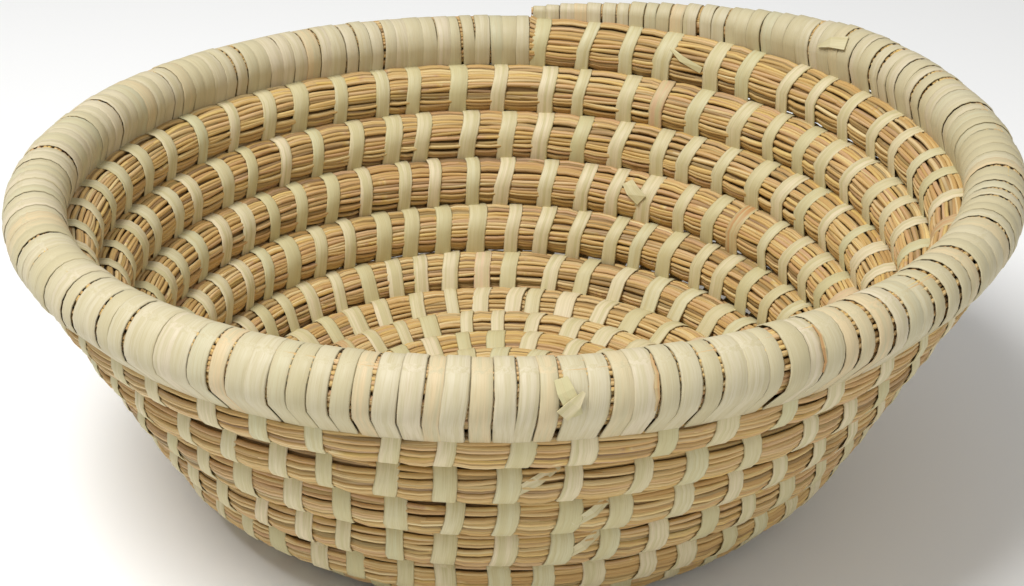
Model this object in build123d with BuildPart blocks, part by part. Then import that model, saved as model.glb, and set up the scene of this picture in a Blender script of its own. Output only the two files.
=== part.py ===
"""Round basket of coiled straw sewn with palm-leaf strip.

One bundle of straw starts at the centre of the floor and winds outwards, counter-clockwise seen from
above, first flat and then up a flaring wall. Strips of leaf wrap each round and pierce the round inside
it. The last round is the rim: it is wrapped side by side all the way, and tapers off on top of the wall.
Millimetres, +Z up, origin at the centre of the underside.
"""

from build123d import *
import os
from math import ceil, cos, degrees, hypot, pi, radians, sin

# The bowl's form, on the bundle's centre line
start_radius = 5.0        # where the bundle's spiral starts from
floor_flat = 77.0         # radius at which the floor begins to turn up
heel_bend = 28.0          # bend from the floor into the wall
wall_angle = 62.0         # slope of the wall, in degrees from the floor
rim_azimuth = 86.4        # where the rim's wrapping starts, in degrees from +X

# The bundle of straw
floor_core = 5.75         # radius of the bundle in the floor
wall_core = 7.9           # radius of the bundle in the wall
rim_core = 8.5            # radius of the bundle in the rim
floor_rounds = 7
wall_rounds = 5
thin_rounds = 5           # rounds from the centre that keep the floor's radius and lie flat
underside_flat = 0.6      # how much of the thin rounds is pressed flat underneath
start_turn = 0.2          # the bundle's cut start, in turns
joint_gap = 0.4           # between the end of one round and the start of the next
arcs_per_turn = 12

# The leaf strips
strip_thickness = 0.45
strip_width = 4.8
strip_clearance = 0.05    # between a strip and the bundle that it wraps
strip_slack = 0.1         # between two strips that face each other
stitch_pitch = 13.0       # along the bundle, in the floor
stitch_bite = 3.5         # how deep a stitch pierces the round inside it
stitch_tip = 1.5          # inner radius of a stitch where it turns back
wall_stitches = 52        # in each round of the wall
stitch_step = 0.1         # how far each round's stitches stand on from those inside it, in stitches
stitch_margin = 0.2       # kept free of stitches at each end of a round, in stitches

# The rim
wrap_count = 168          # strips round the rim, which cover it
wrap_gap = 0.3            # between two strips of the rim
wrap_bite = 5.6           # how deep the rim's strips pierce the wall
wrap_tip = 4.2            # inner radius of a rim strip where it turns back
taper_turn = 0.86         # where the rim starts to taper, in turns from its start
taper_core = 1.4          # radius of the rim's bundle at its tip
taper_steps = 8

# Ends of strip that are folded over and stick out: turns from the rim's start, and angle round the
# bundle from outwards to up
tag_length = 8.0
tag_width = 4.2
tag_lift = 0.5            # between a tag and the strip under it
tag_places = {"front_of_rim": (0.525, 26), "end_of_rim": (0.85, 165), "inside_of_wall": (-3.06, 152)}

rim_round = floor_rounds + wall_rounds
strip_reach = strip_clearance + strip_thickness
coil_gap = 2 * strip_reach + strip_slack
heel_length = heel_bend * radians(wall_angle)


def core_radius(number):
    """Radius of the bundle in a round, counted from 0 at the centre."""
    if number >= rim_round:
        return rim_core
    grown = (number - thin_rounds + 1) / (floor_rounds - thin_rounds + 2)
    return floor_core + (wall_core - floor_core) * min(max(grown, 0.0), 1.0)


# How far along the bowl's profile each round starts
round_start = [start_radius]
for number in range(rim_round + 1):
    apart = core_radius(number) + core_radius(number + 1) + coil_gap
    round_start.append(round_start[-1] + apart)


def profile(along):
    """Radius and rise of the centre line at a distance along the profile of the bowl."""
    if along <= floor_flat:
        return along, 0.0
    turned = min((along - floor_flat) / heel_bend, radians(wall_angle))
    straight = max(along - floor_flat - heel_length, 0.0)
    reach = floor_flat + heel_bend * sin(turned) + straight * cos(radians(wall_angle))
    rise = heel_bend * (1 - cos(turned)) + straight * sin(radians(wall_angle))
    return reach, rise


def centre(turn):
    """Radius and height of the bundle's centre line after a number of turns."""
    number = min(int(turn + 1e-9), rim_round)
    share = turn - number
    along = round_start[number] + share * (round_start[number + 1] - round_start[number])
    reach, rise = profile(along)
    if number < thin_rounds:
        return reach, rise + floor_core - underside_flat
    low = min(core_radius(number), wall_core)
    high = min(core_radius(number + 1), wall_core)
    return reach, rise + low + share * (high - low)


def azimuth(turn):
    """Direction of the centre line from +X, in degrees."""
    return rim_azimuth + 360 * (turn - rim_round)


def upright(reach, height, turn):
    """The point at this radius and height in the direction of a turn."""
    angle = radians(azimuth(turn))
    return Vector(reach * cos(angle), reach * sin(angle), height)


def point(turn):
    return upright(*centre(turn), turn)


def heading(turn):
    step = 1e-4
    return (point(turn + step) - point(turn - step)).normalized()


def section_plane(origin, along):
    """A plane across the bundle, with its x axis towards the middle of the bowl and its y axis up."""
    inward = Vector(-origin.X, -origin.Y, 0).normalized()
    return Plane(origin=origin, x_dir=inward, z_dir=along)


def coil(first, last, radius, flat=0.0):
    """A length of bundle between two turns, on arcs that follow the spiral, flat underneath if asked."""
    last -= joint_gap / (2 * pi * centre(last)[0])
    spans = max(ceil((last - first) * arcs_per_turn), 2)
    turns = [first + (last - first) * i / spans for i in range(spans + 1)]
    with BuildPart() as length:
        with BuildLine() as path:
            along = heading(first + 1e-3)
            for here, there in zip(turns, turns[1:]):
                arc = TangentArc(point(here), point(there), tangent=along)
                along = arc % 1
        with BuildSketch(section_plane(path.line @ 0, path.line % 0)):
            Circle(radius)
            if flat:
                with Locations((0, -radius)):
                    Rectangle(2 * radius, 2 * flat, mode=Mode.SUBTRACT)
        sweep(path=path.line)
    return length


def loop_outline(middle, radius, inner, tip, grow):
    """The outline of a strip that goes round the bundle at middle and turns back at inner."""
    with BuildSketch() as outline:
        with Locations(middle):
            Circle(radius + grow)
        if inner:
            with Locations(inner):
                Circle(tip + grow)
            make_hull()
    return outline.sketch


def strip_loop(turn, middle, radius, bite, tip, width):
    """One strip round the bundle, centred over the +X axis, which pierces the round inside it."""
    reach, height = middle
    number = int(turn)
    inner = None
    if number:
        inside = centre(turn - 1)
        apart = hypot(reach - inside[0], height - inside[1])
        share = (apart - core_radius(number - 1) + bite - tip) / apart
        inner = (reach + (inside[0] - reach) * share, height + (inside[1] - height) * share)
    spread = degrees(width / reach)
    flat = number < thin_rounds
    with BuildPart() as loop:
        with BuildSketch(Plane.XZ.rotated((0, 0, -spread / 2))):
            add(loop_outline(middle, radius, inner, tip, strip_reach))
            if flat:
                with Locations((reach, -radius)):
                    Rectangle(4 * radius, 2 * radius, mode=Mode.SUBTRACT)
            with BuildSketch(mode=Mode.PRIVATE) as hole:
                add(loop_outline(middle, radius, inner, tip, strip_clearance))
                if flat:
                    with Locations((reach, strip_thickness - radius)):
                        Rectangle(4 * radius, 2 * radius, mode=Mode.SUBTRACT)
            add(hole.sketch, mode=Mode.SUBTRACT)
        revolve(axis=Axis.Z, revolution_arc=spread)
    return loop


def placing(turn, pattern_turn):
    """Where a strip that was made for pattern_turn goes to stand at turn."""
    reach, height = centre(turn)
    pattern_reach, pattern_height = centre(pattern_turn)
    shift = upright(reach - pattern_reach, height - pattern_height, turn)
    return Location(tuple(shift), (0, 0, azimuth(turn)))


def strip_row(turns, radius, bite, tip, width):
    """Strips at these turns of one round, made from one pattern for each quarter of the round."""
    with BuildPart() as row:
        for quarter in range(4):
            near = [turn for turn in turns if int(4 * (turn % 1)) == quarter]
            if near:
                pattern_turn = int(near[0]) + (quarter + 0.5) / 4
                pattern = strip_loop(pattern_turn, centre(pattern_turn), radius, bite, tip, width)
                with Locations(*[placing(turn, pattern_turn) for turn in near]):
                    add(pattern.part)
    return row


def taper_radius(turn):
    """Radius of the rim's bundle where it tapers off."""
    share = (turn - rim_round - taper_turn) / (1 - taper_turn)
    return rim_core + (taper_core - rim_core) * share


def taper_centre(turn):
    """Radius and height of the tapering bundle's centre: it lies on the round below it."""
    reach, height = centre(turn)
    drop = rim_core - taper_radius(turn)
    return reach - drop * cos(radians(wall_angle)), height - drop * sin(radians(wall_angle))


def finish(piece, name):
    piece.part.label = name
    export_step(piece.part, f"parts/{name}.step")
    print(name, len(piece.part.solids()), round(piece.part.volume))


os.makedirs("parts", exist_ok=True)

# The bundle of straw, round by round
for number in range(rim_round):
    flat = underside_flat if number < thin_rounds else 0.0
    piece = coil(max(number, start_turn), number + 1, core_radius(number), flat)
    if number < floor_rounds:
        finish(piece, f"floor_coil_{number + 1}")
    else:
        finish(piece, f"wall_coil_{number + 1 - floor_rounds}")
finish(coil(rim_round, rim_round + taper_turn, rim_core), "rim_coil")

# The rim's tapered end
with BuildPart() as rim_taper:
    for step in range(taper_steps + 1):
        turn = rim_round + taper_turn + (1 - taper_turn) * step / taper_steps
        angle = radians(azimuth(turn))
        middle = upright(*taper_centre(turn), turn)
        with BuildSketch(section_plane(middle, Vector(-sin(angle), cos(angle), 0))):
            Circle(taper_radius(turn))
    loft(ruled=True)
finish(rim_taper, "rim_taper")

# The stitches, round by round
for number in range(rim_round):
    in_floor = number < floor_rounds
    count = round(2 * pi * centre(number + 0.5)[0] / stitch_pitch) if in_floor else wall_stitches
    shift = stitch_margin + stitch_step * number % (1 - 2 * stitch_margin)
    turns = [number + (i + shift) / count for i in range(count)]
    turns = [turn for turn in turns if turn > start_turn]
    row = strip_row(turns, core_radius(number), stitch_bite, stitch_tip, strip_width)
    if in_floor:
        finish(row, f"floor_stitches_{number + 1}")
    else:
        finish(row, f"wall_stitches_{number + 1 - floor_rounds}")

# The rim's wrapping, quarter by quarter, and over its tapered end
wrap_turns = [rim_round + (i + 0.5) / wrap_count for i in range(wrap_count)]
wrap_width = 2 * pi * centre(rim_round)[0] / wrap_count - wrap_gap
for quarter, name in enumerate(["back_left", "front_left", "front_right", "back_right"]):
    turns = [t for t in wrap_turns if int(4 * (t % 1)) == quarter and t < rim_round + taper_turn]
    finish(strip_row(turns, rim_core, wrap_bite, wrap_tip, wrap_width), f"rim_wrap_{name}")
with BuildPart() as taper_wrap:
    for turn in wrap_turns:
        if turn > rim_round + taper_turn:
            pattern = strip_loop(turn, taper_centre(turn), taper_radius(turn), wrap_bite,
                                 min(wrap_tip, taper_radius(turn)), wrap_width)
            with Locations(Location((0, 0, 0), (0, 0, azimuth(turn)))):
                add(pattern.part)
finish(taper_wrap, "rim_wrap_taper")

# The folded ends of strip
with BuildPart() as tags:
    for turns_on, section_angle in tag_places.values():
        turn = rim_round + turns_on
        out, up = cos(radians(section_angle)), sin(radians(section_angle))
        reach, height = centre(turn)
        lift = core_radius(int(turn)) + strip_reach + tag_lift
        spot = upright(reach + lift * out, height + lift * up, turn)
        with BuildSketch(Plane(origin=spot, x_dir=heading(turn), z_dir=upright(out, up, turn))):
            Rectangle(tag_width, tag_length)
        extrude(amount=strip_thickness)
finish(tags, "folded_strip_ends")
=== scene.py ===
# %% [markdown]
# # A coiled straw basket
# The basket is one long bundle of straw that winds outwards from the middle of its floor. Strips of palm
# leaf sew each round to the round inside it, and the last round, the rim, is wrapped all the way. The
# frame holds the same basket as plain solids. Every solid is replaced here by the straws and strips that
# it stands for, and the frame still says where everything lies.

# %% The frame
import math
import bpy
import numpy as np
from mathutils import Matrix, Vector


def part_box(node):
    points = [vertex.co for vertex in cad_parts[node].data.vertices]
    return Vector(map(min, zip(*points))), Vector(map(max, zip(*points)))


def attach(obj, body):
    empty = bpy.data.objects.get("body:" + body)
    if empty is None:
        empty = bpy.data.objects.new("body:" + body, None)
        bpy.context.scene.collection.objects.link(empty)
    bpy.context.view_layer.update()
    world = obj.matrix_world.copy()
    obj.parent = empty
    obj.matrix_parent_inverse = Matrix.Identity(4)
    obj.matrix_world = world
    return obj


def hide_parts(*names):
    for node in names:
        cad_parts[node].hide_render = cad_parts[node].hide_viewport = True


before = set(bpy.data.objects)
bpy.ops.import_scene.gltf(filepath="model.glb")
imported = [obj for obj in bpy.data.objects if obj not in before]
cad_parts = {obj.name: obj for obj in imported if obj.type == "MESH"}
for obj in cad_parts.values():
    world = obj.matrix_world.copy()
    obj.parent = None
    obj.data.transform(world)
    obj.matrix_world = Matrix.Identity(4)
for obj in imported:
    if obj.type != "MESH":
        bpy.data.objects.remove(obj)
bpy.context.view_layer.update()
MM = 0.001
print("solids in the frame:", len(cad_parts))

# %% [markdown]
# ## The line that the bundle follows
# The bundle's centre line is a spiral on the profile of the bowl: flat, then a bend, then a sloping wall.
# It could be measured from the solids, but the rule behind it is short, so its sizes are written here
# again, in millimetres, and checked against the boxes of the solids.

# %% The spiral
START_RADIUS, FLOOR_FLAT, HEEL_BEND = 5.0, 77.0, 28.0
WALL_ANGLE = math.radians(62.0)
RIM_AZIMUTH = 86.4
FLOOR_CORE, WALL_CORE, RIM_CORE = 5.75, 7.9, 8.5
FLOOR_ROUNDS, WALL_ROUNDS, THIN_ROUNDS = 7, 5, 5
COIL_GAP, UNDERSIDE_FLAT = 1.1, 0.6
START_TURN, TAPER_TURN, TAPER_CORE = 0.2, 0.86, 1.4
RIM_ROUND = FLOOR_ROUNDS + WALL_ROUNDS
BUTTON_TURNS = 0.5  # turns over which the bundle leaves the middle
EASE = 0.12  # turns on each side of a round's end over which its step is evened out


def core_radius(number):
    """Radius of the bundle in a round, counted from 0 at the centre."""
    if number >= RIM_ROUND:
        return RIM_CORE
    grown = (number - THIN_ROUNDS + 1) / (FLOOR_ROUNDS - THIN_ROUNDS + 2)
    return FLOOR_CORE + (WALL_CORE - FLOOR_CORE) * min(max(grown, 0.0), 1.0)


round_start = [START_RADIUS]
for number in range(RIM_ROUND + 1):
    apart = core_radius(number) + core_radius(number + 1) + COIL_GAP
    round_start.append(round_start[-1] + apart)


def centre(turn):
    """Radius and height of the centre line after a number of turns, in millimetres."""
    number = min(max(int(turn + 1e-9), 0), RIM_ROUND)
    share = turn - number
    along = round_start[number] + share * (round_start[number + 1] - round_start[number])
    turned = min(max(along - FLOOR_FLAT, 0.0) / HEEL_BEND, WALL_ANGLE)
    straight = max(along - FLOOR_FLAT - HEEL_BEND * WALL_ANGLE, 0.0)
    reach = min(along, FLOOR_FLAT) + HEEL_BEND * math.sin(turned) + straight * math.cos(WALL_ANGLE)
    rise = HEEL_BEND * (1 - math.cos(turned)) + straight * math.sin(WALL_ANGLE)
    if number < THIN_ROUNDS:
        return reach, rise + FLOOR_CORE - UNDERSIDE_FLAT
    low = min(core_radius(number), WALL_CORE)
    high = min(core_radius(number + 1), WALL_CORE)
    return reach, rise + low + share * (high - low)


def angle_at(turn):
    """Direction of the centre line from +X, in radians."""
    return math.radians(RIM_AZIMUTH) + 2 * math.pi * (turn - RIM_ROUND)


def outward_at(turn):
    return Vector((math.cos(angle_at(turn)), math.sin(angle_at(turn)), 0.0))


UP = Vector((0.0, 0.0, 1.0))


def round_name(number, what):
    """A name such as wall_coil_2 for what belongs to a round."""
    if number < FLOOR_ROUNDS:
        return f"floor_{what}_{number + 1}"
    return f"wall_{what}_{number + 1 - FLOOR_ROUNDS}"


def section_at(turn):
    """Directions across the bundle: away from the round below, and out of the bowl's inner face."""
    reach, height = centre(turn)
    below, below_height = centre(turn - 1) if turn >= 1 else (0.0, height)
    outward = outward_at(turn)
    away = (outward * (reach - below) + UP * (height - below_height)).normalized()
    return away, away.cross(UP.cross(outward))


def taper_share(turn):
    """How far the rim's end has tapered off, from 0 to 1."""
    return min(max((turn - RIM_ROUND - TAPER_TURN) / (1 - TAPER_TURN), 0.0), 1.0)


def bundle_at(turn):
    """Centre and radius, in metres, of the bundle at a turn. The rim's end sinks on to the wall.

    Between the middle of the floor and the rim, the solids' steps from round to round are evened out, and
    the bundle's start is bent in to the very middle, where it closes the floor."""
    near = [turn]
    if THIN_ROUNDS - 1 < turn < RIM_ROUND:
        near = [min(turn + off, RIM_ROUND - 1e-6) for off in np.linspace(-EASE, EASE, 9)]
    reach = centre(turn)[0] * min(max((turn - START_TURN) / BUTTON_TURNS, 0.0), 1.0) ** 0.6
    height = sum(centre(t)[1] for t in near) / len(near)
    radius = sum(core_radius(int(t + 1e-9)) for t in near) / len(near)
    drop = (RIM_CORE - TAPER_CORE) * taper_share(turn)
    reach, height = reach - drop * math.cos(WALL_ANGLE), height - drop * math.sin(WALL_ANGLE)
    return (outward_at(turn) * reach + UP * height) * MM, (radius - drop) * MM


for number in range(FLOOR_ROUNDS, RIM_ROUND):
    low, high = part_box(round_name(number, "coil"))
    reach, height = centre(number + 0.5)
    middle = (low.z + high.z) / 2
    print(f"wall round {number}: solid's middle at {middle / MM:.1f} mm, spiral at {height:.1f} mm")

# %% [markdown]
# ## Writing node formulas as arithmetic
# Straws and strips are moved into place by node formulas. Placing dozens of Math nodes by hand hides the
# formula, so a small class adds a node for each sum. The same class serves geometry and shader trees,
# because both use the same Math nodes.

# %% Node arithmetic
def plug(tree, value, socket):
    """Joins a wire to a socket, or sets the socket to a plain value."""
    if isinstance(value, Wire):
        tree.links.new(value.socket, socket)
    else:
        socket.default_value = value


class Wire:
    """An output of a node. Arithmetic on it adds the next node."""

    def __init__(self, tree, socket):
        self.tree, self.socket = tree, socket

    def math(self, operation, *others):
        node = self.tree.nodes.new("ShaderNodeMath")
        node.operation = operation
        for value, socket in zip((self, *others), node.inputs):
            plug(self.tree, value, socket)
        return Wire(self.tree, node.outputs[0])

    def __add__(self, other):
        return self.math("ADD", other)

    def __sub__(self, other):
        return self.math("SUBTRACT", other)

    def __mul__(self, other):
        return self.math("MULTIPLY", other)

    def __truediv__(self, other):
        return self.math("DIVIDE", other)

    def flip(self):
        """One minus this."""
        return self * -1.0 + 1.0

    def vector(self, operation, other):
        node = self.tree.nodes.new("ShaderNodeVectorMath")
        node.operation = operation
        plug(self.tree, self, node.inputs[0])
        plug(self.tree, other, node.inputs[3 if operation == "SCALE" else 1])
        return Wire(self.tree, node.outputs[0])

    def scaled(self, factor):
        return self.vector("SCALE", factor)

    def plus(self, other):
        return self.vector("ADD", other)


def ramp(value, low, high):
    """0 below low, 1 above high, smooth between them."""
    node = value.tree.nodes.new("ShaderNodeMapRange")
    node.interpolation_type = "SMOOTHSTEP"
    plug(value.tree, value, node.inputs["Value"])
    node.inputs["From Min"].default_value, node.inputs["From Max"].default_value = low, high
    return Wire(value.tree, node.outputs["Result"])


def three(tree, x, y, z):
    """A vector from three numbers or wires."""
    node = tree.nodes.new("ShaderNodeCombineXYZ")
    for value, socket in zip((x, y, z), node.inputs):
        plug(tree, value, socket)
    return Wire(tree, node.outputs[0])


def not_below(place, lowest):
    """Lifts whatever lies under a height up to that height."""
    parts = place.tree.nodes.new("ShaderNodeSeparateXYZ")
    plug(place.tree, place, parts.inputs[0])
    x, y, z = (Wire(place.tree, socket) for socket in parts.outputs)
    return three(place.tree, x, y, z.math("MAXIMUM", lowest))


def noise(tree, vector, scale=1.0, detail=0.0):
    """Smooth noise around 0.5."""
    node = tree.nodes.new("ShaderNodeTexNoise")
    plug(tree, vector, node.inputs["Vector"])
    node.inputs["Scale"].default_value, node.inputs["Detail"].default_value = scale, detail
    return Wire(tree, node.outputs["Fac"])


# %% [markdown]
# ## Helpers for geometry nodes
# Each tree has named inputs for its sizes, and reads the facts that the script stored on the mesh, such as
# where the bundle runs. The result is turned into a plain mesh, because the pieces are kept as meshes.

# %% Geometry tree helpers
def new_tree(name, sockets):
    """A geometry tree with a Geometry input and output and the named inputs, and wires from the inputs."""
    tree = bpy.data.node_groups.new(name, "GeometryNodeTree")
    tree.interface.new_socket(name="Geometry", in_out="INPUT", socket_type="NodeSocketGeometry")
    for label, kind in sockets.items():
        tree.interface.new_socket(name=label, in_out="INPUT", socket_type=f"NodeSocket{kind}")
    tree.interface.new_socket(name="Geometry", in_out="OUTPUT", socket_type="NodeSocketGeometry")
    source = tree.nodes.new("NodeGroupInput")
    return tree, {s.name: Wire(tree, s) for s in source.outputs if s.name}


def step(tree, kind, settings=None, **inputs):
    """A node with some inputs plugged in. The first output comes back as a wire."""
    node = tree.nodes.new(kind)
    for key, value in (settings or {}).items():
        setattr(node, key, value)
    for key, value in inputs.items():
        plug(tree, value, node.inputs[key.replace("_", " ")])
    return Wire(tree, node.outputs[0])


def stored(tree, name, kind="FLOAT"):
    """Reads a named attribute."""
    return step(tree, "GeometryNodeInputNamedAttribute", {"data_type": kind}, Name=name)


def store(tree, geometry, name, value):
    """Writes a number to a named attribute."""
    return step(tree, "GeometryNodeStoreNamedAttribute", {"data_type": "FLOAT"},
                Geometry=geometry, Name=name, Value=value)


def chance(tree, of, seed, low=0.0, high=1.0):
    """A random number that depends only on a whole number and a seed."""
    node = tree.nodes.new("FunctionNodeRandomValue")
    for socket, value in zip((node.inputs[2], node.inputs[3], node.inputs["ID"], node.inputs["Seed"]),
                             (low, high, of, seed)):
        plug(tree, value, socket)
    return Wire(tree, node.outputs[1])


def close_tree(tree, geometry, material):
    """Ends a tree: real geometry, its material, and the output."""
    geometry = step(tree, "GeometryNodeRealizeInstances", Geometry=geometry)
    geometry = step(tree, "GeometryNodeSetMaterial", Geometry=geometry, Material=material)
    end = tree.nodes.new("NodeGroupOutput")
    tree.links.new(geometry.socket, end.inputs[0])


def add_facts(mesh, facts):
    """Stores numbers or vectors, one for each vertex, as named attributes."""
    for name, values in facts.items():
        values = np.asarray(values, dtype=np.float32)
        kind = "FLOAT_VECTOR" if values.ndim == 2 else "FLOAT"
        attribute = mesh.attributes.new(name, kind, "POINT")
        attribute.data.foreach_set("vector" if values.ndim == 2 else "value", values.ravel())


def tube_mesh(name, rings, sides, closed):
    """A tube of quads with `along` from 0 to 1 over its rings and `around` from 0 to 1 over its sides."""
    last = rings if closed else rings - 1
    faces = []
    for i in range(last):
        for j in range(sides):
            k, n = (j + 1) % sides, (i + 1) % rings
            faces.append((i * sides + j, i * sides + k, n * sides + k, n * sides + j))
    if not closed:
        faces.append(tuple(reversed(range(sides))))
        faces.append(tuple((rings - 1) * sides + j for j in range(sides)))
    mesh = bpy.data.meshes.new(name)
    mesh.from_pydata([(0, 0, 0)] * (rings * sides), [], faces)
    ring = np.repeat(np.arange(rings), sides)
    add_facts(mesh, {"along": ring / last, "around": np.tile(np.arange(sides), rings) / sides})
    return mesh, ring


def new_piece(name, mesh):
    piece = bpy.data.objects.new(name, mesh)
    bpy.context.scene.collection.objects.link(piece)
    return piece


# %% [markdown]
# ## A map for each piece
# Every straw and strip gets its own cell in the piece's UV map, with its length across the cell. A straw or
# strip that closes on itself would have one face that runs back over the whole cell, so that face is moved
# on past the seam.

# %% Lay out the map and settle a piece
def unrolled(values, face, count):
    """Moves the low corners of faces that cross a seam on by one turn."""
    highest = np.full(count, -1e9)
    np.maximum.at(highest, face, values)
    return values + (highest[face] - values > 0.5)


def lay_map(mesh, cell_name, across):
    """A UV map with one cell for each straw or strip, `across` cells side by side."""
    corners = np.empty(len(mesh.loops), dtype=np.int64)
    mesh.loops.foreach_get("vertex_index", corners)
    totals = np.empty(len(mesh.polygons), dtype=np.int64)
    mesh.polygons.foreach_get("loop_total", totals)
    face = np.repeat(np.arange(len(totals)), totals)

    def corner_values(name):
        values = np.empty(len(mesh.vertices), dtype=np.float32)
        mesh.attributes[name].data.foreach_get("value", values)
        return values[corners].astype(float)

    cell = np.round(corner_values(cell_name)).astype(int)
    high = math.ceil((cell.max() + 1) / across)
    margin = 0.06
    along = unrolled(corner_values("along"), face, len(totals)) * (1 - 0.2 * margin) + 0.1 * margin
    around = unrolled(corner_values("around"), face, len(totals)) * (1 - 2 * margin) + margin
    uv = np.stack([(cell % across + along) / across, (cell // across + around) / high], axis=1)
    layer = mesh.uv_layers.new(name="OFBake")
    layer.data.foreach_set("uv", uv.astype(np.float32).ravel())


def settle(piece, tree, inputs, cell_name, across, scratch):
    """Runs a tree on a piece and keeps the result as a plain mesh with its map."""
    modifier = piece.modifiers.new(tree.name, "NODES")
    modifier.node_group = tree
    for item in tree.interface.items_tree:
        if item.in_out == "INPUT" and item.name in inputs:
            modifier[item.identifier] = inputs[item.name]
    depsgraph = bpy.context.evaluated_depsgraph_get()
    mesh = bpy.data.meshes.new_from_object(piece.evaluated_get(depsgraph), depsgraph=depsgraph)
    piece.modifiers.clear()
    piece.data = mesh
    lay_map(mesh, cell_name, across)
    for name in scratch:
        if name in mesh.attributes:
            mesh.attributes.remove(mesh.attributes[name])
    sides = np.empty(len(mesh.polygons), dtype=np.int32)
    mesh.polygons.foreach_get("loop_total", sides)
    mesh.polygons.foreach_set("use_smooth", sides == 4)
    edge_of = np.empty(len(mesh.loops), dtype=np.int32)
    mesh.loops.foreach_get("edge_index", edge_of)
    sharp = np.zeros(len(mesh.edges), dtype=bool)
    sharp[edge_of[np.repeat(sides != 4, sides)]] = True  # keeps the caps out of the smooth shading
    mesh.edges.foreach_set("use_edge_sharp", sharp)
    print(piece.name, "faces:", len(mesh.polygons))
    return piece


# %% [markdown]
# ## Colours
# Colours are given as they look on a screen and turned into the linear values that shaders expect.

# %% Colours
def paint(red, green, blue):
    """A screen colour from 0 to 255 as linear RGBA."""
    channels = [c / 255 for c in (red, green, blue)]
    linear = [c / 12.92 if c <= 0.04045 else ((c + 0.055) / 1.055) ** 2.4 for c in channels]
    return (*linear, 1.0)


# %% [markdown]
# ## The look of dried plant fibre
# Straw and palm leaf share one thing: fine fibres that run lengthwise, with streaks of other shades. One
# shader group makes that from two lengths, along and across the fibres, and each material places it with
# its own colours and sizes. The group also darkens the colour towards dark brown by its Shadow input,
# which is painted shade.

# %% The fibre group
def attribute(tree, name):
    """Reads a named number in a material."""
    node = tree.nodes.new("ShaderNodeAttribute")
    node.attribute_name = name
    return Wire(tree, node.outputs["Fac"])


def blend_colour(tree, factor, first, second):
    node = tree.nodes.new("ShaderNodeMix")
    node.data_type = "RGBA"
    for value, socket in ((factor, node.inputs[0]), (first, node.inputs[6]), (second, node.inputs[7])):
        plug(tree, value, socket)
    return Wire(tree, node.outputs[2])


fibre = bpy.data.node_groups.new("plant_fibre", "ShaderNodeTree")
for label, kind in (("Base", "Color"), ("Streak", "Color"), ("Stain", "Color"), ("Along", "Float"),
                    ("Across", "Float"), ("Strand", "Float"), ("Shadow", "Float"), ("Stains", "Float")):
    fibre.interface.new_socket(name=label, in_out="INPUT", socket_type=f"NodeSocket{kind}")
for label, kind in (("Color", "Color"), ("Roughness", "Float"), ("Height", "Float")):
    fibre.interface.new_socket(name=label, in_out="OUTPUT", socket_type=f"NodeSocket{kind}")
given = {s.name: Wire(fibre, s) for s in fibre.nodes.new("NodeGroupInput").outputs if s.name}
place = three(fibre, given["Along"], given["Across"], given["Strand"] * 3.7)
fine_place = three(fibre, given["Along"] * 0.35, given["Across"] * 9.0, given["Strand"] * 3.7)
fine = noise(fibre, fine_place, 1.0, 3.0)
broad_place = three(fibre, given["Along"] * 0.12, given["Across"] * 1.6, given["Strand"] * 5.1)
broad = noise(fibre, broad_place, 1.0, 2.0)
spots = noise(fibre, place.vector("MULTIPLY", (0.45, 1.1, 1.0)), 1.0, 3.0)
colour = blend_colour(fibre, ramp(broad, 0.35, 0.7), given["Base"], given["Streak"])
colour = blend_colour(fibre, ramp(fine, 0.42, 0.78) * 0.32, colour, given["Stain"])
colour = blend_colour(fibre, ramp(spots, 0.66, 0.78) * given["Stains"], colour, given["Stain"])
# Painted shade: the Shadow input darkens the colour towards dark brown.
colour = blend_colour(fibre, given["Shadow"], colour, paint(58, 42, 24))
ends = fibre.nodes.new("NodeGroupOutput")
fibre.links.new(colour.socket, ends.inputs["Color"])
fibre.links.new((fine * 0.25 + 0.42).socket, ends.inputs["Roughness"])
fibre.links.new((fine * 0.7 + broad * 0.3).socket, ends.inputs["Height"])
print("fibre group nodes:", len(fibre.nodes))


def colour_steps(tree, value, steps):
    """Picks between colours by a number from 0 to 1."""
    node = tree.nodes.new("ShaderNodeValToRGB")
    plug(tree, value, node.inputs[0])
    band = node.color_ramp
    for i, (place_on, shade) in enumerate(steps):
        element = band.elements[i] if i < 2 else band.elements.new(place_on)
        element.position, element.color = place_on, shade
    return Wire(tree, node.outputs[0])


def fibre_material(name, steps, streak, stain, strand, along, across, shadow, stains, bump):
    """A material of plant fibre. The wires come from a function that is given the material's tree."""
    material = bpy.data.materials.new(name)
    material.use_nodes = True
    tree = material.node_tree
    shader = tree.nodes["Principled BSDF"]
    group = tree.nodes.new("ShaderNodeGroup")
    group.node_tree = fibre
    shade = colour_steps(tree, attribute(tree, "shade"), steps)
    for label, value in (("Base", shade), ("Streak", streak), ("Stain", stain),
                         ("Along", attribute(tree, "along_mm") * along),
                         ("Across", attribute(tree, across[0]) * across[1]),
                         ("Strand", attribute(tree, strand)),
                         # Painted shade: the stored dive number, times shadow, darkens the colour.
                         ("Shadow", attribute(tree, "sunk") * shadow), ("Stains", stains)):
        plug(tree, value, group.inputs[label])
    tree.links.new(group.outputs["Color"], shader.inputs["Base Color"])
    tree.links.new(group.outputs["Roughness"], shader.inputs["Roughness"])
    relief = tree.nodes.new("ShaderNodeBump")
    relief.inputs["Strength"].default_value, relief.inputs["Distance"].default_value = bump, 0.2 * MM
    tree.links.new(group.outputs["Height"], relief.inputs["Height"])
    tree.links.new(relief.outputs["Normal"], shader.inputs["Normal"])
    shader.inputs["Specular IOR Level"].default_value = 0.35
    return material


# %% [markdown]
# ## Three finishes
# Straw is tan, pinkish brown or golden from stalk to stalk. The stitches are palm leaf that has kept a
# little green, and the rim's strips are paler and more even. Each straw and strip carries its own shade
# number, so neighbours differ while each stays one colour. The last shade of stitch leaf is the brown of a
# torn edge.

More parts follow.
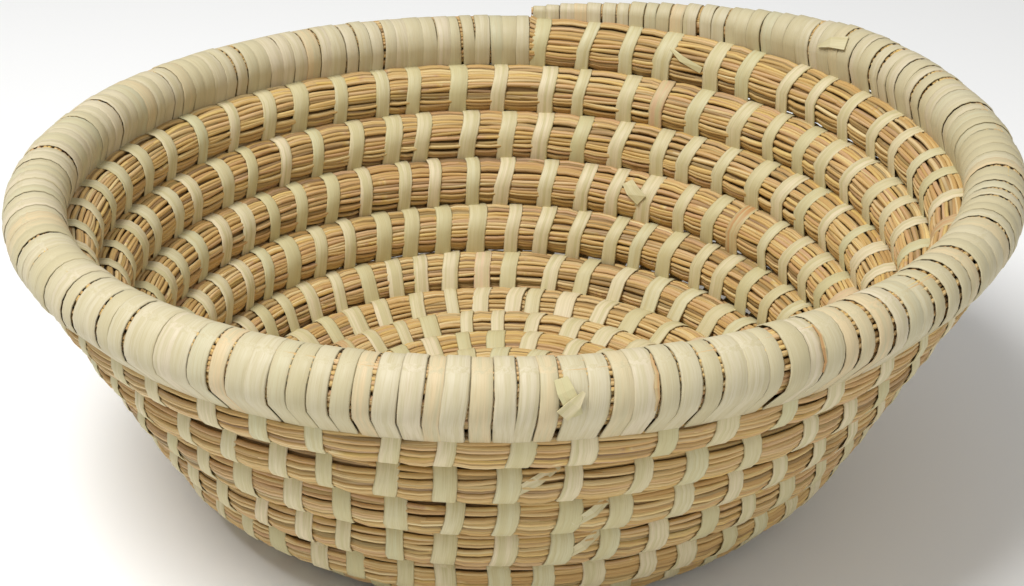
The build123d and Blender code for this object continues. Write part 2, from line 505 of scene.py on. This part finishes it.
# %% Straw, stitch leaf and rim leaf
straw = fibre_material(
    "dry_straw",
    [(0.0, paint(176, 140, 86)), (0.18, paint(202, 172, 110)), (0.36, paint(213, 187, 135)),
     (0.5, paint(196, 159, 123)), (0.66, paint(213, 181, 105)), (0.84, paint(224, 204, 153)),
     (1.0, paint(191, 150, 108))],
    # shadow 0.5: the straw takes painted shade where stalks dive and on the tube behind them.
    paint(193, 155, 95), paint(131, 94, 50), "strand", 0.25, ("around", 5.0), 0.5, 0.4, 0.35)
stitch_leaf = fibre_material(
    "stitch_leaf",
    [(0.0, paint(193, 185, 140)), (0.3, paint(206, 194, 155)), (0.6, paint(217, 202, 168)),
     (0.85, paint(198, 193, 153)), (0.97, paint(221, 202, 170)), (1.0, paint(182, 130, 78))],
    paint(194, 183, 138), paint(163, 140, 94), "strip", 0.2, ("across_mm", 0.5), 0.0, 0.1, 0.3)
rim_leaf = fibre_material(
    "rim_leaf",
    [(0.0, paint(187, 176, 138)), (0.3, paint(200, 190, 159)), (0.6, paint(206, 193, 165)),
     (0.85, paint(191, 185, 151)), (1.0, paint(208, 185, 144))],
    paint(191, 180, 144), paint(168, 144, 101), "strip", 0.2, ("across_mm", 0.5), 0.0, 0.08, 0.25)
print("materials:", [m.name for m in (straw, stitch_leaf, rim_leaf)])

# %% [markdown]
# ## Where the stitches stand
# Each round has evenly counted stitches, set by hand and so never quite even. The bundle is pinched where
# a stitch holds it and swells between two, so the places are worked out before the straw is laid.

# %% Stitch places
STITCH_PITCH, WALL_STITCHES, STITCH_STEP, STITCH_MARGIN = 13.0, 52, 0.1, 0.2
BY_HAND = 0.12  # how far a stitch strays, as a share of the space between two
hand = np.random.default_rng(7)


def stitch_turns(number):
    """The turns at which a round is stitched."""
    around = 2 * math.pi * centre(number + 0.5)[0]
    count = round(around / STITCH_PITCH) if number < FLOOR_ROUNDS else WALL_STITCHES
    shift = STITCH_MARGIN + STITCH_STEP * number % (1 - 2 * STITCH_MARGIN)
    uneven = hand.uniform(-BY_HAND, BY_HAND, count)
    turns = [number + (i + shift + uneven[i]) / count for i in range(count)]
    return [turn for turn in turns if turn > START_TURN]


stitches = [stitch_turns(number) for number in range(RIM_ROUND)]
print("stitches:", sum(len(row) for row in stitches))

# %% [markdown]
# ## The straw
# A round of the bundle is 48 stalks side by side. They could be one tube with a striped bump, but then
# the edge of the bundle would be smooth and all the dark gaps between stalks would be painted. One long
# tube carries the line of the bundle as attributes, and the tree copies it for each stalk, spreads the
# copies round the bundle, lets them wander and dive under each other, and pinches them at the stitches.
# Stalks that dive are darkened with painted shade, and behind them lies a tube dark with painted shade, so
# the gaps are partly real shade and partly painted.

# %% A tree that lays the straws
STRAWS = 48
HEART = 0.89  # radius of the tube behind the straws, dark with painted shade, as a share of the bundle's
TALL = 1.07  # the bundle is a little taller along the wall than it is thick
DRIFT_RATE, DIVE_RATE, SHADE_RATE = 0.018, 0.011, 0.008  # changes for each millimetre along a straw
lay_straws, wires = new_tree("lay_straws", {
    "Straws": "Int", "Straw Radius": "Float", "Wander": "Float", "Dive": "Float", "Swell": "Float",
    "Pinch": "Float", "Lowest": "Float", "Seed": "Int", "Material": "Material"})
tree = lay_straws
points = step(tree, "GeometryNodePoints", Count=wires["Straws"])
points = store(tree, points, "strand", step(tree, "GeometryNodeInputIndex"))
copies = step(tree, "GeometryNodeInstanceOnPoints", Points=points, Instance=wires["Geometry"])
copies = step(tree, "GeometryNodeRealizeInstances", Geometry=copies)
strand, along_mm = stored(tree, "strand"), stored(tree, "along_mm")
own_phase = chance(tree, strand, wires["Seed"])
drift = noise(tree, three(tree, along_mm * DRIFT_RATE, strand * 5.3, own_phase), 1.0, 1.0) - 0.5
depth_place = three(tree, along_mm * DIVE_RATE, strand * 7.9, own_phase + 9.0)
dive = ramp(noise(tree, depth_place, 1.0, 1.0), 0.5, 0.66)
spread = (strand + own_phase * 0.5 + drift * wires["Wander"]) * (2 * math.pi) / wires["Straws"]
width = chance(tree, strand, wires["Seed"] + 1.0, 0.78, 1.2) * wires["Straw Radius"]
pinch = stored(tree, "pinch")
bundle = stored(tree, "core") * (pinch.flip() * wires["Swell"] - pinch * wires["Pinch"] + 1.0)
ring = bundle - width - dive * wires["Dive"]
turned = stored(tree, "around") * (2 * math.pi)
outward, upward = stored(tree, "outward", "FLOAT_VECTOR"), stored(tree, "upward", "FLOAT_VECTOR")
place = stored(tree, "path", "FLOAT_VECTOR").plus(
    outward.scaled(ring * spread.math("COSINE") + width * turned.math("COSINE"))).plus(
    upward.scaled(ring * TALL * spread.math("SINE") + width * turned.math("SINE")))
place = not_below(place, wires["Lowest"])
stretch = (along_mm * SHADE_RATE + own_phase * 5.0).math("FLOOR")
shade = chance(tree, strand + stretch * 61.0, wires["Seed"] + 2.0)
laid = step(tree, "GeometryNodeSetPosition", Geometry=copies, Position=place)
laid = store(tree, laid, "shade", shade)
# Painted shade: a straw is darkened as far as it dives under the others.
laid = store(tree, laid, "sunk", dive)
heart_place = stored(tree, "path", "FLOAT_VECTOR").plus(
    outward.scaled(bundle * HEART * turned.math("COSINE"))).plus(
    upward.scaled(bundle * HEART * TALL * turned.math("SINE")))
heart = step(tree, "GeometryNodeSetPosition", Geometry=wires["Geometry"], Position=heart_place)
# The tube behind the straws takes full painted shade.
for name, value in (("strand", wires["Straws"]), ("shade", 0.0), ("sunk", 1.0)):
    heart = store(tree, heart, name, value)
joined = tree.nodes.new("GeometryNodeJoinGeometry")
for part in (laid, heart):
    tree.links.new(part.socket, joined.inputs[0])
laid = Wire(tree, joined.outputs[0])
close_tree(tree, laid, wires["Material"])
print("straw tree nodes:", len(tree.nodes))

# %% [markdown]
# ## Laying the rounds
# Each round is its own piece, as it is in the frame. Its line is sampled every few millimetres. The
# stalks of one round go on in the next, because they take their wander from the distance along the whole
# bundle.

# %% Lay the straw round by round
SAMPLE, STRAW_SIDES, PINCH_REACH = 3.7, 5, 3.4
PER_TURN = 100  # steps in which the length of the spiral is added up
travelled = [0.0]
for i in range(1, PER_TURN * (RIM_ROUND + 2)):
    travelled.append(travelled[-1] + 2 * math.pi * centre(i / PER_TURN)[0] / PER_TURN)


def travel(turn):
    """Distance along the bundle from its start, in millimetres."""
    return float(np.interp(turn * PER_TURN, np.arange(len(travelled)), travelled))


def straw_round(name, first, last, held):
    """The straws of a length of bundle, pinched at the turns in held, or all along if there are none."""
    rings = max(int((travel(last) - travel(first)) / SAMPLE), 8)
    turns = np.linspace(first, last, rings)
    mesh, ring_of = tube_mesh(name, rings, STRAW_SIDES, closed=False)
    path, outward, upward, core, pinch = [], [], [], [], []
    for turn in turns:
        spot, radius = bundle_at(turn)
        path.append(spot)
        core.append(radius)
        away, inside = section_at(turn)
        outward.append(inside)
        upward.append(away)
        near = min((abs(travel(turn) - travel(t)) for t in held), default=0.0)
        pinch.append(math.exp(-(near / PINCH_REACH) ** 2))
    add_facts(mesh, {"path": np.array(path)[ring_of], "outward": np.array(outward)[ring_of],
                     "upward": np.array(upward)[ring_of], "core": np.array(core)[ring_of],
                     "pinch": np.array(pinch)[ring_of],
                     "along_mm": np.array([travel(t) for t in turns])[ring_of]})
    piece = new_piece(name, mesh)
    inputs = {"Straws": STRAWS, "Straw Radius": 0.8 * MM, "Wander": 4.8, "Dive": 0.4 * MM, "Swell": 0.085,
              "Pinch": 0.03, "Lowest": 0.5 * MM, "Seed": 3, "Material": straw}
    return settle(piece, lay_straws, inputs, "strand", 1, ("path", "outward", "upward", "core", "pinch"))


straw_pieces = []
for number in range(RIM_ROUND):
    held = [t for row in stitches[max(number - 1, 0):number + 2] for t in row]
    piece = straw_round(round_name(number, "straw"), max(number, START_TURN), number + 1, held)
    straw_pieces.append((piece, round_name(number, "coil")))
piece = straw_round("rim_straw", RIM_ROUND, RIM_ROUND + TAPER_TURN, [])
straw_pieces.append((piece, "rim_coil"))
piece = straw_round("rim_end_straw", RIM_ROUND + TAPER_TURN, RIM_ROUND + 1, [])
straw_pieces.append((piece, "rim_taper"))

# %% [markdown]
# ## The strips of leaf
# A strip goes round one round of the bundle and turns back inside the round below it, so its line is the
# outline of a big circle joined to a small one. Every strip is the same short closed tube to begin with.
# The tree copies it to each place, and a formula lays it on that outline with its own width and lean.

# %% A tree that sews
OUTLINE = 5.0  # rough length of a strip's outline for each unit of its radius and reach


def strip_tube(rings):
    """The closed tube that every strip starts as: a flat section with bevelled edges."""
    section = [(-0.5, 0.0), (-0.42, 0.5), (0.42, 0.5), (0.5, 0.0), (0.42, -0.5), (-0.42, -0.5)]
    mesh, ring_of = tube_mesh("strip", rings, len(section), closed=True)
    section = np.array(section)[np.arange(len(mesh.vertices)) % len(section)]
    add_facts(mesh, {"across": section[:, 0], "lift": section[:, 1]})
    return new_piece("strip_pattern", mesh)


sew, wires = new_tree("sew", {"Strip": "Object", "Thickness": "Float", "Width": "Float", "Uneven": "Float",
                              "Bow": "Float", "Lean": "Float", "Lean Inside": "Float", "Lean Uneven": "Float",
                              "Loose": "Float", "Tall": "Float", "Seed": "Int", "Material": "Material"})
tree = sew
spots = store(tree, wires["Geometry"], "strip", step(tree, "GeometryNodeInputIndex"))
pattern = tree.nodes.new("GeometryNodeObjectInfo")
plug(tree, wires["Strip"], pattern.inputs["Object"])
copies = step(tree, "GeometryNodeInstanceOnPoints", Points=spots,
              Instance=Wire(tree, pattern.outputs["Geometry"]))
copies = step(tree, "GeometryNodeRealizeInstances", Geometry=copies)
strip = stored(tree, "strip")
big, small, reach = (stored(tree, name) for name in ("big", "small", "reach"))
turned = stored(tree, "along") * (2 * math.pi)
cosine, sine = turned.math("COSINE"), turned.math("SINE")
on_small = (cosine * -1.0).math("GREATER_THAN", (big - small) / reach)
loose = chance(tree, strip, wires["Seed"], 0.0, wires["Loose"])
radius = big + loose + (small - big - loose) * on_small
across = stored(tree, "across")
bow = across * across * 4.0 * wires["Bow"]
rise = radius + stored(tree, "lift") * wires["Thickness"] - bow
up_along = rise * cosine * (on_small.flip() * wires["Tall"] + on_small) - reach * on_small
side_along = rise * sine
lean = wires["Lean"] + wires["Lean Inside"] * sine + chance(
    tree, strip, wires["Seed"] + 1.0, -1.0, 1.0) * wires["Lean Uneven"]
wide = wires["Width"] * (chance(tree, strip, wires["Seed"] + 2.0, -1.0, 1.0) * wires["Uneven"] + 1.0)
wavy = noise(tree, three(tree, sine, cosine, strip * 3.1), 1.3, 1.0) * 0.24 + 0.88
forward = stored(tree, "forward", "FLOAT_VECTOR")
place = stored(tree, "middle", "FLOAT_VECTOR").plus(
    stored(tree, "away", "FLOAT_VECTOR").scaled(up_along)).plus(
    stored(tree, "side", "FLOAT_VECTOR").scaled(side_along)).plus(
    forward.scaled(across * wide * wavy + lean * (big * cosine * 0.6 + up_along * 0.4)))
place = not_below(place, (stored(tree, "lift") + 0.5) * wires["Thickness"])
sewn = step(tree, "GeometryNodeSetPosition", Geometry=copies, Position=place)
sewn = store(tree, sewn, "shade", chance(tree, strip, wires["Seed"] + 3.0))
sewn = store(tree, sewn, "across_mm", across * wide / MM)
sewn = store(tree, sewn, "along_mm", stored(tree, "along") * (radius + reach) * OUTLINE / MM)
close_tree(tree, sewn, wires["Material"])
print("sewing tree nodes:", len(tree.nodes))

# %% [markdown]
# ## Sewing the rounds together
# The points that the tree sews at hold the facts of each stitch: the middle of the bundle there, the way
# to the round below, and the two radii. A stitch of the first round goes through the bundle's own start.

# %% Sew
STITCH_BITE, STITCH_TIP, STITCH_CLEAR = 3.5, 1.5, 0.25
STRIP_THICKNESS = 0.4
CELLS_ACROSS = 3  # strips side by side in a piece's map
strip_pattern = strip_tube(16)
rim_pattern = strip_tube(20)


def sewing_points(name, turns, tip, shove, bite, clear):
    """A mesh of one point for each strip, with what the tree needs to know about it."""
    facts = {key: [] for key in ("middle", "away", "side", "forward", "big", "small", "reach")}
    for turn in turns:
        spot, radius = bundle_at(turn)
        outward = outward_at(turn)
        forward = UP.cross(outward)
        below = max(turn - 1, 0.0)
        inner, inner_radius = bundle_at(below)
        if turn < 1:
            inner = Vector((0.0, 0.0, spot.z))
        away = (spot - inner).normalized()
        side = away.cross(forward)
        small = min(tip * MM, radius)
        inner = inner + away * ((inner_radius - bite * MM) + small) + side * shove * MM
        away = (spot - inner).normalized()
        facts["middle"].append(spot)
        facts["away"].append(away)
        facts["side"].append(away.cross(forward))
        facts["forward"].append(forward)
        facts["big"].append(radius + clear * MM)
        facts["small"].append(small)
        facts["reach"].append(max((spot - inner).length, (radius - small) * 1.02 + 0.3 * MM))
    mesh = bpy.data.meshes.new(name)
    mesh.from_pydata([tuple(p) for p in facts["middle"]], [], [])
    add_facts(mesh, {key: np.array(values) for key, values in facts.items()})
    return new_piece(name, mesh)


STRIP_SCRATCH = ("middle", "away", "side", "forward", "big", "small", "reach", "across", "lift")
strip_pieces = []
for number in range(RIM_ROUND):
    points = sewing_points(round_name(number, "sewing"), stitches[number],
                           STITCH_TIP, 0.0, STITCH_BITE, STITCH_CLEAR)
    inputs = {"Strip": strip_pattern, "Thickness": STRIP_THICKNESS * MM, "Width": 5.7 * MM, "Uneven": 0.2,
              "Bow": 0.12 * MM, "Lean": -0.02, "Lean Inside": -0.22, "Lean Uneven": 0.1, "Loose": 0.3 * MM,
              "Tall": 1.05, "Seed": 20 + number, "Material": stitch_leaf}
    piece = settle(points, sew, inputs, "strip", CELLS_ACROSS, STRIP_SCRATCH)
    strip_pieces.append((piece, round_name(number, "stitches"), "stitch_leaf"))

# %% [markdown]
# ## Wrapping the rim
# The rim's strips lie side by side, and some over the next one. Outside, they run down over the upper part
# of the round below before they go in, and inside they go in at the groove, so the small circle of their
# outline is moved outwards.

# %% Wrap the rim
WRAPS, WRAP_TIP, WRAP_SHOVE, WRAP_BITE, WRAP_CLEAR = 168, 3.2, -3.0, 4.6, 0.2
wrap_turns = [RIM_ROUND + (i + 0.5 + hand.uniform(-BY_HAND, BY_HAND)) / WRAPS for i in range(WRAPS)]
quarters = ["back_left", "front_left", "front_right", "back_right"]
for quarter, part in enumerate(quarters + ["taper"]):
    if part == "taper":
        turns = [t for t in wrap_turns if t >= RIM_ROUND + TAPER_TURN]
    else:
        turns = [t for t in wrap_turns if int(4 * (t % 1)) == quarter and t < RIM_ROUND + TAPER_TURN]
    points = sewing_points(f"rim_wrapping_{part}", turns, WRAP_TIP, WRAP_SHOVE, WRAP_BITE, WRAP_CLEAR)
    inputs = {"Strip": rim_pattern, "Thickness": STRIP_THICKNESS * MM, "Width": 5.3 * MM, "Uneven": 0.2,
              "Bow": 0.22 * MM, "Lean": 0.05, "Lean Inside": -0.06, "Lean Uneven": 0.05,
              "Loose": 0.5 * MM, "Tall": 1.0, "Seed": 40 + quarter, "Material": rim_leaf}
    piece = settle(points, sew, inputs, "strip", CELLS_ACROSS, STRIP_SCRATCH)
    strip_pieces.append((piece, f"rim_wrap_{part}", "rim_leaf"))

for pattern_object in (strip_pattern, rim_pattern):
    bpy.data.objects.remove(pattern_object)

# %% [markdown]
# ## Loose ends of leaf
# Where a strip ran out, its end was folded over or tucked under the next stitch. They are few and all
# different, so each is a short ribbon through a few spots on the bundle, given as turns from the rim's
# start, the way round the bundle from outwards to up, and the lift off it. Two strips of the rim are torn
# along one edge, which has gone brown.

# %% Loose ends
def on_bundle(turn, way, lift):
    """A spot on the bundle and the direction out of it."""
    spot, radius = bundle_at(turn)
    out = outward_at(turn) * math.cos(math.radians(way)) + UP * math.sin(math.radians(way))
    return spot + out * (radius + lift * MM), out


def ribbon(spots, widths, thickness=0.35):
    """Corners and faces of a flat ribbon through spots, closed all round."""
    corners, faces, facts = [], [], []
    places = [on_bundle(RIM_ROUND + turn, way, lift) for turn, way, lift in spots]
    for i, ((here, out), width) in enumerate(zip(places, widths)):
        before, after = places[max(i - 1, 0)][0], places[min(i + 1, len(places) - 1)][0]
        across = out.cross((after - before).normalized()).normalized()
        for side, level in ((-0.5, 0.5), (0.5, 0.5), (0.5, -0.5), (-0.5, -0.5)):
            corners.append(here + across * side * width * MM + out * level * thickness * MM)
            facts.append((i / (len(places) - 1), side * width, (side + 0.5 + (0.5 - level)) / 4))
    for i in range(len(places) - 1):
        for j in range(4):
            k = (j + 1) % 4
            faces.append((4 * i + j, 4 * i + 4 + j, 4 * i + 4 + k, 4 * i + k))
    faces.append((0, 1, 2, 3))
    end = 4 * (len(places) - 1)
    faces.append((end + 3, end + 2, end + 1, end))
    return corners, faces, facts


LOOSE_ENDS = [
    ([(0.5235, 50, 0.9), (0.5245, 30, 1.2), (0.526, 12, 1.3), (0.5275, -6, 1.0)], [3.4, 4.2, 4.0, 2.4]),
    ([(0.529, 28, 1.5), (0.5265, 12, 1.8), (0.5235, -4, 1.5)], [0.8, 3.2, 3.6]),
    ([(0.855, 140, 1.0), (0.862, 150, 1.6), (0.868, 165, 1.3)], [5.0, 3.6, 0.6]),
    ([(-3.066, 166, 0.9), (-3.06, 148, 1.4), (-3.056, 130, 1.0)], [4.6, 4.8, 4.0]),
    ([(-1.4745, 36, 0.3), (-1.481, 12, 0.7), (-1.4875, -12, 0.3)], [1.8, 2.8, 2.6]),
    ([(-2.4555, 34, 0.3), (-2.462, 8, 0.8), (-2.4685, -16, 0.3)], [1.8, 2.8, 2.6]),
    ([(-3.456, 32, 0.3), (-3.463, 6, 0.8), (-3.470, -20, 0.3)], [1.8, 2.8, 2.6]),
    ([(-8.2, 80, 0.4), (-8.21, 90, 0.9), (-8.222, 100, 0.4)], [2.6, 3.0, 1.0]),
    ([(-0.08, 178, 0.6), (-0.07, 160, 1.0), (-0.064, 140, 0.5)], [2.4, 2.2, 1.0]),
]
RIBBON_LENGTH = 9  # rough length of a loose end, in millimetres
TORN_SHADE = 1.0  # the last colour step of the stitch leaf, which is brown
TORN_EDGES = [
    ([(0.5478, 80, 0.6), (0.5475, 60, 0.8), (0.5479, 44, 0.8), (0.5474, 24, 0.8), (0.5476, 8, 0.7),
      (0.547, -14, 0.5)], [0.3, 0.7, 0.9, 1.3, 0.8, 0.4]),
    ([(0.595, 70, 0.6), (0.5953, 50, 0.7), (0.5948, 30, 0.8), (0.595, 8, 0.6), (0.5945, -10, 0.4)],
     [0.3, 0.8, 1.1, 0.6, 0.3]),
]
corners, faces, facts, numbers = [], [], [], []
for number, (spots, widths) in enumerate(LOOSE_ENDS + TORN_EDGES):
    first = len(corners)
    more, sides, told = ribbon(spots, widths)
    corners += more
    faces += [tuple(first + corner for corner in face) for face in sides]
    facts += told
    numbers += [number] * len(more)
mesh = bpy.data.meshes.new("loose_ends")
mesh.from_pydata([tuple(c) for c in corners], [], faces)
facts, numbers = np.array(facts), np.array(numbers)
add_facts(mesh, {"along": facts[:, 0], "along_mm": facts[:, 0] * RIBBON_LENGTH, "across_mm": facts[:, 1],
                 "around": facts[:, 2], "strip": numbers, "sunk": facts[:, 0] * 0,
                 "shade": np.where(numbers < len(LOOSE_ENDS), numbers * 0.37 % 0.97, TORN_SHADE)})
mesh.materials.append(stitch_leaf)
lay_map(mesh, "strip", CELLS_ACROSS)
mesh.update()
strip_pieces.append((new_piece("loose_ends", mesh), "folded_strip_ends", "stitch_leaf"))
print("loose ends:", len(LOOSE_ENDS), "torn edges:", len(TORN_EDGES))

# %% [markdown]
# ## Hand the pieces to the frame
# Nothing on a basket moves, so every piece rides on the one body, and the solid that it stands for is hidden.

# %% Ride and hide the solids
for piece, node in straw_pieces:
    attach(piece, "root")
    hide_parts(node)
for piece, node, finish_name in strip_pieces:
    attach(piece, "root")
    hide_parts(node)
print("pieces:", len(straw_pieces) + len(strip_pieces))

# %% [markdown]
# ## The studio
# A pale floor, a bright even surround and two soft lamps, one high in front on the left and a weaker one on
# the right, show the weave without hard shadows.

# %% Floor, light and camera
floor_mesh = bpy.data.meshes.new("studio_floor")
floor_mesh.from_pydata([(-3, -3, 0), (3, -3, 0), (3, 3, 0), (-3, 3, 0)], [], [(0, 1, 2, 3)])
studio_floor = new_piece("studio_floor", floor_mesh)
floor_finish = bpy.data.materials.new("studio_floor")
floor_finish.use_nodes = True
floor_shader = floor_finish.node_tree.nodes["Principled BSDF"]
floor_shader.inputs["Base Color"].default_value = (0.9, 0.9, 0.89, 1.0)
floor_shader.inputs["Roughness"].default_value = 0.8
floor_mesh.materials.append(floor_finish)

world = bpy.data.worlds.new("studio")
world.use_nodes = True
world.node_tree.nodes["Background"].inputs["Color"].default_value = (1.0, 1.0, 1.0, 1.0)
world.node_tree.nodes["Background"].inputs["Strength"].default_value = 0.42
bpy.context.scene.world = world


def soft_lamp(name, place, size, watts):
    """A square soft lamp that points at the basket."""
    lamp = bpy.data.lights.new(name, "AREA")
    lamp.size, lamp.energy = size, watts
    lamp_object = bpy.data.objects.new(name, lamp)
    bpy.context.scene.collection.objects.link(lamp_object)
    lamp_object.location = place
    lamp_object.rotation_euler = (Vector((0, 0, 0.05)) - Vector(place)).to_track_quat("-Z", "Y").to_euler()


soft_lamp("key_lamp", (-0.4, -0.3, 1.15), 0.55, 15.0)
soft_lamp("fill_lamp", (0.9, -0.9, 0.7), 0.9, 2.0)

camera = bpy.data.cameras.new("camera")
camera.lens, camera.sensor_width = 68.48, 36.0
camera.shift_x, camera.shift_y = 0.0048, 0.0114
camera.clip_start = 0.01
camera_object = bpy.data.objects.new("camera", camera)
bpy.context.scene.collection.objects.link(camera_object)
aim, away, elevation = Vector((0, 0, 0.05)), 0.6084, math.radians(26.7)
camera_object.location = aim + Vector((0, -math.cos(elevation), math.sin(elevation))) * away
camera_object.rotation_euler = (aim - camera_object.location).to_track_quat("-Z", "Y").to_euler()
bpy.context.scene.camera = camera_object
bpy.context.scene.view_settings.view_transform = "Standard"
print("camera", round(away, 3), "m from the basket")
